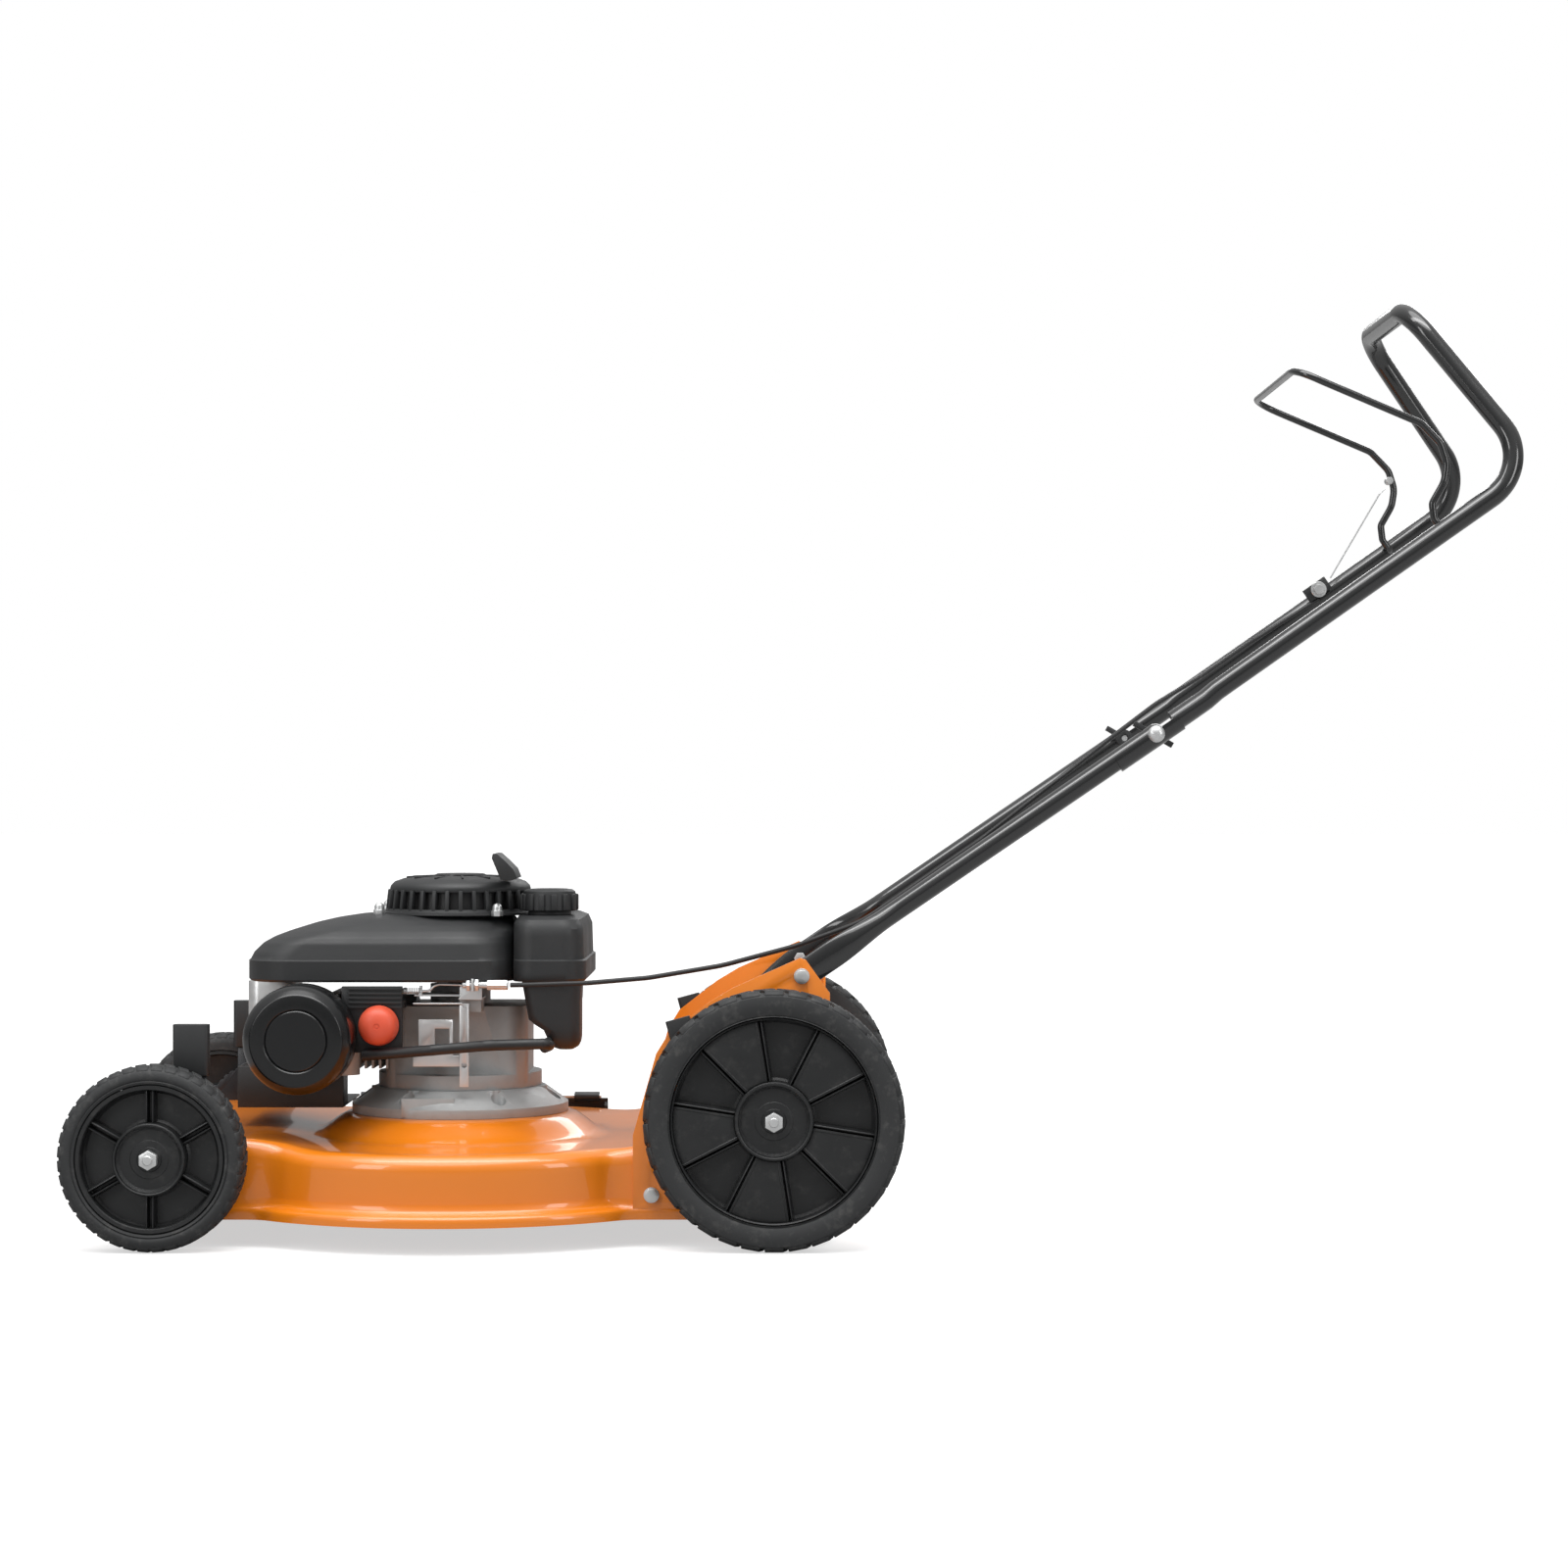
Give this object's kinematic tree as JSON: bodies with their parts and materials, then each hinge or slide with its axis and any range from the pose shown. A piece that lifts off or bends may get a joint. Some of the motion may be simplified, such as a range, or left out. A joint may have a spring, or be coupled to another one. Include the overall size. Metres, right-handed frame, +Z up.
{
  "type": "push lawn mower",
  "caption": "Walk-behind petrol lawn mower with a pressed-steel side-discharge deck, high rear wheels, a vertical-shaft engine, a folding tube handle and an engine-stop bail.",
  "frame": {"origin": "on the ground, under the middle of the bounding box", "axes": "+X from the front of the deck to the handle, +Y to the discharge side, +Z up"},
  "size_m": [1.5738, 0.568, 1.0303],
  "materials": {
    "deck_paint": "glossy enamel",
    "black_steel": "glossy powder coat",
    "black_plastic": "moulded, fine grain",
    "gloss_black": "moulded, glossy",
    "white_plastic": "moulded",
    "primer": "soft moulded bulb",
    "zinc": "zinc plated",
    "casting": "as cast",
    "forged": "oiled steel",
    "ceramic": "plated shell",
    "rubber": "extruded",
    "tyre": "moulded"
  },
  "bodies": {
    "deck": {"deck_shell": "deck_paint", "rear_bracket_left": "deck_paint", "rear_bracket_right": "deck_paint", "index_plates": "black_steel", "door_hinge": "zinc", "frame_bolts": "zinc", "sump": "casting", "engine_block": "casting", "spark_plug": "ceramic", "muffler": "zinc", "air_guide": "black_plastic", "carburetor": "casting", "primer_panel": "black_plastic", "blower_shroud": "black_plastic", "recoil_housing": "black_plastic", "engine_fasteners": "zinc", "fuel_tank": "black_plastic", "fuel_hose": "rubber", "governor_bracket": "zinc", "cable_tab": "zinc", "lower_handle_left": "black_steel", "lower_handle_right": "black_steel", "brake_cable": "rubber"},
    "crank": {"crankshaft": "forged", "flywheel": "casting", "blade_adapter": "forged", "blade": "forged"},
    "piston": {"piston": "casting"},
    "pulley": {"rope_pulley": "white_plastic"},
    "starter_pull": {"starter_grip": "black_plastic"},
    "filter_lid": {"filter_cover": "gloss_black"},
    "primer": {"primer_bulb": "primer"},
    "tank_cap": {"fuel_cap": "black_plastic"},
    "oil_plug": {"dipstick": "black_plastic"},
    "speed_lever": {"governor_lever": "zinc"},
    "stop_lever": {"brake_lever": "zinc"},
    "discharge_door": {"side_door": "black_plastic"},
    "handle_top": {"upper_handle": "black_steel", "cable_bracket": "black_plastic"},
    "nut_left": {"wing_nut_left": "black_plastic"},
    "nut_right": {"wing_nut_right": "black_plastic"},
    "stop_bail": {"bail": "black_steel", "cable_wire": "zinc"},
    "arm_fl": {"lever_fl": "black_steel", "grip_fl": "black_plastic"},
    "wheel_fl": {"tyre_fl": "tyre", "rim_fl": "black_plastic"},
    "arm_fr": {"lever_fr": "black_steel", "grip_fr": "black_plastic"},
    "wheel_fr": {"tyre_fr": "tyre", "rim_fr": "black_plastic"},
    "arm_rl": {"lever_rl": "black_steel", "grip_rl": "black_plastic"},
    "wheel_rl": {"tyre_rl": "tyre", "rim_rl": "black_plastic"},
    "arm_rr": {"lever_rr": "black_steel", "grip_rr": "black_plastic"},
    "wheel_rr": {"tyre_rr": "tyre", "rim_rr": "black_plastic"}
  },
  "joints": [
    {"name": "height_fl", "type": "hinge", "parent": "deck", "child": "arm_fl", "pos_m": [-0.63, -0.2, 0.088], "axis": [0, 1, 0], "range_deg": [-40, 0]},
    {"name": "spin_fl", "type": "hinge", "parent": "arm_fl", "child": "wheel_fl", "pos_m": [-0.685, -0.239, 0.1], "axis": [0, 1, 0], "continuous": true},
    {"name": "height_fr", "type": "hinge", "parent": "deck", "child": "arm_fr", "pos_m": [-0.63, 0.2, 0.088], "axis": [0, 1, 0], "range_deg": [-40, 0]},
    {"name": "spin_fr", "type": "hinge", "parent": "arm_fr", "child": "wheel_fr", "pos_m": [-0.685, 0.239, 0.1], "axis": [0, 1, 0], "continuous": true},
    {"name": "height_rl", "type": "hinge", "parent": "deck", "child": "arm_rl", "pos_m": [-0.085, -0.2, 0.118], "axis": [0, 1, 0], "range_deg": [0, 34]},
    {"name": "spin_rl", "type": "hinge", "parent": "arm_rl", "child": "wheel_rl", "pos_m": [-0.023, -0.239, 0.14], "axis": [0, 1, 0], "continuous": true},
    {"name": "height_rr", "type": "hinge", "parent": "deck", "child": "arm_rr", "pos_m": [-0.085, 0.2, 0.118], "axis": [0, 1, 0], "range_deg": [0, 34]},
    {"name": "spin_rr", "type": "hinge", "parent": "arm_rr", "child": "wheel_rr", "pos_m": [-0.023, 0.239, 0.14], "axis": [0, 1, 0], "continuous": true},
    {"name": "crank_spin", "type": "hinge", "parent": "deck", "child": "crank", "pos_m": [-0.379, 0, 0.2], "axis": [0, 0, 1], "continuous": true},
    {"name": "piston_slide", "type": "slide", "parent": "deck", "child": "piston", "axis": [1, 0, 0], "range_m": [0, 0.038]},
    {"name": "starter_slide", "type": "slide", "parent": "deck", "child": "starter_pull", "axis": [0.7071, 0, 0.7071], "range_m": [0, 0.6], "stiffness_N_per_m": 6, "springref_m": -0.5},
    {"name": "pulley_spin", "type": "hinge", "parent": "deck", "child": "pulley", "pos_m": [-0.379, 0, 0.36], "axis": [0, 0, 1], "range_deg": [-1, 800]},
    {"name": "filter_twist", "type": "hinge", "parent": "deck", "child": "filter_lid", "pos_m": [-0.54, -0.16, 0.22], "axis": [0, 1, 0], "range_deg": [0, 30]},
    {"name": "primer_press", "type": "slide", "parent": "deck", "child": "primer", "axis": [0, 1, 0], "range_m": [0, 0.002], "stiffness_N_per_m": 800, "springref_m": -0.002},
    {"name": "cap_twist", "type": "hinge", "parent": "deck", "child": "tank_cap", "pos_m": [-0.274, -0.06, 0.36], "axis": [0, 0, 1], "range_deg": [0, 90]},
    {"name": "dipstick_twist", "type": "hinge", "parent": "deck", "child": "oil_plug", "pos_m": [-0.327, 0.079, 0.175], "axis": [0, 0, 1], "range_deg": [0, 90]},
    {"name": "governor_swing", "type": "hinge", "parent": "deck", "child": "speed_lever", "pos_m": [-0.365, -0.109, 0.188], "axis": [0, 1, 0], "range_deg": [-4, 4]},
    {"name": "bail_swing", "type": "hinge", "parent": "handle_top", "child": "stop_bail", "pos_m": [0.703, 0, 0.774], "axis": [0, 1, 0], "range_deg": [0, 28], "stiffness_Nm_per_rad": 1.5, "springref_deg": -57.3},
    {"name": "stop_lever_swing", "type": "hinge", "parent": "deck", "child": "stop_lever", "pos_m": [-0.376, -0.072, 0.265], "axis": [0, 0, 1], "range_deg": [0, 14]},
    {"name": "door_swing", "type": "hinge", "parent": "deck", "child": "discharge_door", "pos_m": [-0.379, 0.258, 0.121], "axis": [1, 0, 0], "range_deg": [0, 85], "stiffness_Nm_per_rad": 0.4, "springref_deg": -28.65},
    {"name": "handle_fold", "type": "hinge", "parent": "deck", "child": "handle_top", "pos_m": [0.389, 0, 0.552], "axis": [0, -1, 0], "range_deg": [0, 115]},
    {"name": "nut_left_twist", "type": "hinge", "parent": "handle_top", "child": "nut_left", "pos_m": [0.389, -0.16, 0.552], "axis": [0, 1, 0], "continuous": true},
    {"name": "nut_right_twist", "type": "hinge", "parent": "handle_top", "child": "nut_right", "pos_m": [0.389, 0.16, 0.552], "axis": [0, 1, 0], "continuous": true}
  ],
  "couplings": [
    {"joint": "pulley_spin", "follows": "starter_slide", "rad_per_m": 22.727},
    {"joint": "stop_lever_swing", "follows": "bail_swing", "ratio": 0.5}
  ]
}
